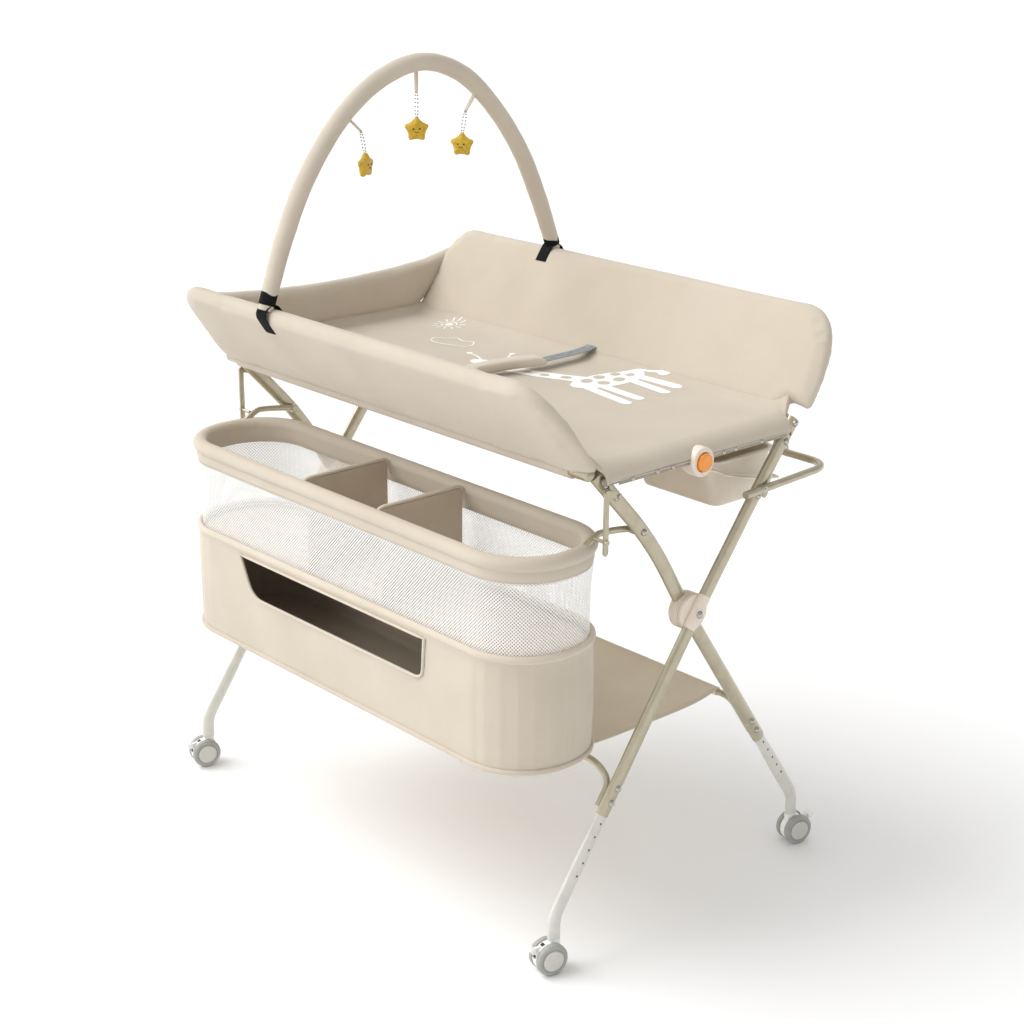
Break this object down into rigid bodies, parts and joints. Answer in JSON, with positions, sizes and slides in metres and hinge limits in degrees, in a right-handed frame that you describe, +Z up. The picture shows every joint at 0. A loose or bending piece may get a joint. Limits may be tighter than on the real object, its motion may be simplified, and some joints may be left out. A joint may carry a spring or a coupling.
{
  "type": "folding baby changing table",
  "caption": "Folding changing table: padded fabric tray on scissor legs with casters, organiser basket, lower shelf, washing tub, towel rail and a toy arch with plush stars.",
  "frame": {"origin": "on the floor, at the bottom centre of the table's bounding box", "axes": "+X along the table towards its open foot end, -Y towards the side with the basket, +Z up"},
  "size_m": [0.8888, 0.6234, 1.1755],
  "materials": {
    "fabric_beige": "matt woven",
    "mesh_white": "open knitted mesh",
    "tube_champagne": "satin metallic powder coat",
    "foot_ivory": "satin powder coat",
    "plastic_beige": "moulded satin",
    "rail_dark": "satin",
    "button_orange": "moulded gloss",
    "caster_white": "moulded gloss",
    "tyre_grey": "matt tread",
    "tub_taupe": "moulded satin",
    "wire_champagne": "satin",
    "star_mustard": "short plush",
    "webbing_black": "woven webbing",
    "webbing_grey": "woven webbing"
  },
  "bodies": {
    "hub": {"hub_disc_R": "plastic_beige", "hub_disc_L": "plastic_beige"},
    "inner_legs": {"leg_inner_R": "tube_champagne", "leg_inner_L": "tube_champagne", "hub_cover_R": "plastic_beige", "hub_cover_L": "plastic_beige", "front_tube": "tube_champagne", "front_wall": "fabric_beige", "arch_strap_front": "webbing_black", "basket_rim": "fabric_beige", "basket_bar_R": "tube_champagne", "basket_bar_L": "tube_champagne", "basket_link_R": "tube_champagne", "basket_link_L": "tube_champagne", "basket_mesh": "mesh_white", "basket_bin": "fabric_beige", "basket_floor_dividers": "fabric_beige", "shelf_bar_rear": "tube_champagne"},
    "outer_legs": {"leg_outer_R": "tube_champagne", "leg_outer_L": "tube_champagne", "rear_tube": "tube_champagne", "rear_wall": "fabric_beige", "arch_strap_rear": "webbing_black", "towel_rail": "tube_champagne", "tub_cradle": "wire_champagne", "shelf_bar_front": "tube_champagne"},
    "tray_soft": {"deck": "fabric_beige", "end_wall": "fabric_beige", "belt_pad": "fabric_beige", "belt_strap": "webbing_grey"},
    "shelf_soft": {"shelf_cloth": "fabric_beige"},
    "front_rails": {"rail_front_R": "rail_dark", "rail_front_L": "rail_dark"},
    "rear_rails": {"rail_rear_R": "plastic_beige", "rail_rear_L": "plastic_beige"},
    "button_R": {"button_R": "button_orange"},
    "button_L": {"button_L": "button_orange"},
    "tub": {"tub": "tub_taupe"},
    "toy_arch": {"toy_arch": "fabric_beige"},
    "star_1": {"star_1": "star_mustard"},
    "star_2": {"star_2": "star_mustard"},
    "star_3": {"star_3": "star_mustard"},
    "foot_front_R": {"foot_front_R": "foot_ivory"},
    "caster_front_R": {"caster_front_R": "caster_white"},
    "wheels_front_R": {"wheels_front_R": "tyre_grey"},
    "brake_front_R": {"brake_front_R": "caster_white"},
    "foot_front_L": {"foot_front_L": "foot_ivory"},
    "caster_front_L": {"caster_front_L": "caster_white"},
    "wheels_front_L": {"wheels_front_L": "tyre_grey"},
    "brake_front_L": {"brake_front_L": "caster_white"},
    "foot_rear_R": {"foot_rear_R": "foot_ivory"},
    "caster_rear_R": {"caster_rear_R": "caster_white"},
    "wheels_rear_R": {"wheels_rear_R": "tyre_grey"},
    "brake_rear_R": {"brake_rear_R": "caster_white"},
    "foot_rear_L": {"foot_rear_L": "foot_ivory"},
    "caster_rear_L": {"caster_rear_L": "caster_white"},
    "wheels_rear_L": {"wheels_rear_L": "tyre_grey"},
    "brake_rear_L": {"brake_rear_L": "caster_white"}
  },
  "joints": [
    {"name": "fold", "type": "hinge", "parent": "hub", "child": "inner_legs", "pos_m": [0.00206, 0.00834, 0.46], "axis": [-1, 0, 0], "range_deg": [0, 24]},
    {"name": "fold_outer", "type": "hinge", "parent": "hub", "child": "outer_legs", "pos_m": [0.00206, 0.00834, 0.46], "axis": [1, 0, 0], "range_deg": [0, 24]},
    {"name": "front_rails_fold", "type": "hinge", "parent": "inner_legs", "child": "front_rails", "pos_m": [0.00206, -0.16366, 0.686], "axis": [1, 0, 0], "range_deg": [0, 102]},
    {"name": "rear_rails_fold", "type": "hinge", "parent": "outer_legs", "child": "rear_rails", "pos_m": [0.00206, 0.17634, 0.686], "axis": [-1, 0, 0], "range_deg": [0, 86]},
    {"name": "tray_lift", "type": "slide", "parent": "hub", "child": "tray_soft", "axis": [0, 0, 1], "range_m": [0, 0.0595], "deforming": ["deck", "end_wall", "belt_pad", "belt_strap"]},
    {"name": "shelf_drop", "type": "slide", "parent": "hub", "child": "shelf_soft", "axis": [0, 0, -1], "range_m": [0, 0.047], "deforming": ["shelf_cloth"]},
    {"name": "arch_rise", "type": "slide", "parent": "hub", "child": "toy_arch", "axis": [0, 0, 1], "range_m": [0, 0.086]},
    {"name": "button_R_press", "type": "slide", "parent": "rear_rails", "child": "button_R", "axis": [-1, 0, 0], "range_m": [0, 0.005], "stiffness_N_per_m": 400, "springref_m": -0.002},
    {"name": "button_L_press", "type": "slide", "parent": "rear_rails", "child": "button_L", "axis": [1, 0, 0], "range_m": [0, 0.005], "stiffness_N_per_m": 400, "springref_m": -0.002},
    {"name": "star_1_swing", "type": "hinge", "parent": "toy_arch", "child": "star_1", "pos_m": [-0.16994, -0.10366, 1.068], "axis": [0, 1, 0], "range_deg": [-35, 35]},
    {"name": "star_2_swing", "type": "hinge", "parent": "toy_arch", "child": "star_2", "pos_m": [-0.16994, 0.00234, 1.118], "axis": [0, 1, 0], "range_deg": [-35, 35]},
    {"name": "star_3_swing", "type": "hinge", "parent": "toy_arch", "child": "star_3", "pos_m": [-0.16994, 0.09934, 1.081], "axis": [0, 1, 0], "range_deg": [-35, 35]},
    {"name": "tub_lift", "type": "slide", "parent": "outer_legs", "child": "tub", "axis": [0, 0, 1], "range_m": [0, 0.03]},
    {"name": "foot_front_R_extend", "type": "slide", "parent": "outer_legs", "child": "foot_front_R", "axis": [0, -0.5711, -0.8209], "range_m": [-0.06, 0.04]},
    {"name": "caster_front_R_swivel", "type": "hinge", "parent": "foot_front_R", "child": "caster_front_R", "pos_m": [0.42506, -0.25466, 0.038], "axis": [0, 0, 1], "continuous": true},
    {"name": "wheels_front_R_roll", "type": "hinge", "parent": "caster_front_R", "child": "wheels_front_R", "pos_m": [0.423, -0.26239, 0.0235], "axis": [-0.9664, 0.2571, 0], "continuous": true},
    {"name": "brake_front_R_press", "type": "hinge", "parent": "caster_front_R", "child": "brake_front_R", "pos_m": [0.42197, -0.26626, 0.037], "axis": [0.9664, -0.2571, 0], "range_deg": [0, 9]},
    {"name": "foot_front_L_extend", "type": "slide", "parent": "outer_legs", "child": "foot_front_L", "axis": [0, -0.5711, -0.8209], "range_m": [-0.06, 0.04]},
    {"name": "caster_front_L_swivel", "type": "hinge", "parent": "foot_front_L", "child": "caster_front_L", "pos_m": [-0.42094, -0.25466, 0.038], "axis": [0, 0, 1], "continuous": true},
    {"name": "wheels_front_L_roll", "type": "hinge", "parent": "caster_front_L", "child": "wheels_front_L", "pos_m": [-0.423, -0.26239, 0.0235], "axis": [-0.9664, 0.2571, 0], "continuous": true},
    {"name": "brake_front_L_press", "type": "hinge", "parent": "caster_front_L", "child": "brake_front_L", "pos_m": [-0.42403, -0.26626, 0.037], "axis": [0.9664, -0.2571, 0], "range_deg": [0, 9]},
    {"name": "foot_rear_R_extend", "type": "slide", "parent": "inner_legs", "child": "foot_rear_R", "axis": [0, 0.5711, -0.8209], "range_m": [-0.06, 0.04]},
    {"name": "caster_rear_R_swivel", "type": "hinge", "parent": "foot_rear_R", "child": "caster_rear_R", "pos_m": [0.40306, 0.27134, 0.038], "axis": [0, 0, 1], "continuous": true},
    {"name": "wheels_rear_R_roll", "type": "hinge", "parent": "caster_rear_R", "child": "wheels_rear_R", "pos_m": [0.40511, 0.27907, 0.0235], "axis": [0.9664, -0.2571, 0], "continuous": true},
    {"name": "brake_rear_R_press", "type": "hinge", "parent": "caster_rear_R", "child": "brake_rear_R", "pos_m": [0.40614, 0.28293, 0.037], "axis": [-0.9664, 0.2571, 0], "range_deg": [0, 9]},
    {"name": "foot_rear_L_extend", "type": "slide", "parent": "inner_legs", "child": "foot_rear_L", "axis": [0, 0.5711, -0.8209], "range_m": [-0.06, 0.04]},
    {"name": "caster_rear_L_swivel", "type": "hinge", "parent": "foot_rear_L", "child": "caster_rear_L", "pos_m": [-0.39894, 0.27134, 0.038], "axis": [0, 0, 1], "continuous": true},
    {"name": "wheels_rear_L_roll", "type": "hinge", "parent": "caster_rear_L", "child": "wheels_rear_L", "pos_m": [-0.39689, 0.27907, 0.0235], "axis": [0.9664, -0.2571, 0], "continuous": true},
    {"name": "brake_rear_L_press", "type": "hinge", "parent": "caster_rear_L", "child": "brake_rear_L", "pos_m": [-0.39586, 0.28293, 0.037], "axis": [-0.9664, 0.2571, 0], "range_deg": [0, 9]}
  ],
  "couplings": [
    {"joint": "fold_outer", "follows": "fold", "ratio": 1},
    {"joint": "front_rails_fold", "follows": "fold", "ratio": 4.17},
    {"joint": "rear_rails_fold", "follows": "fold", "ratio": 3.525},
    {"joint": "tray_lift", "follows": "fold", "m_per_rad": 0.1385},
    {"joint": "shelf_drop", "follows": "fold", "m_per_rad": 0.109},
    {"joint": "arch_rise", "follows": "fold", "m_per_rad": 0.2}
  ]
}
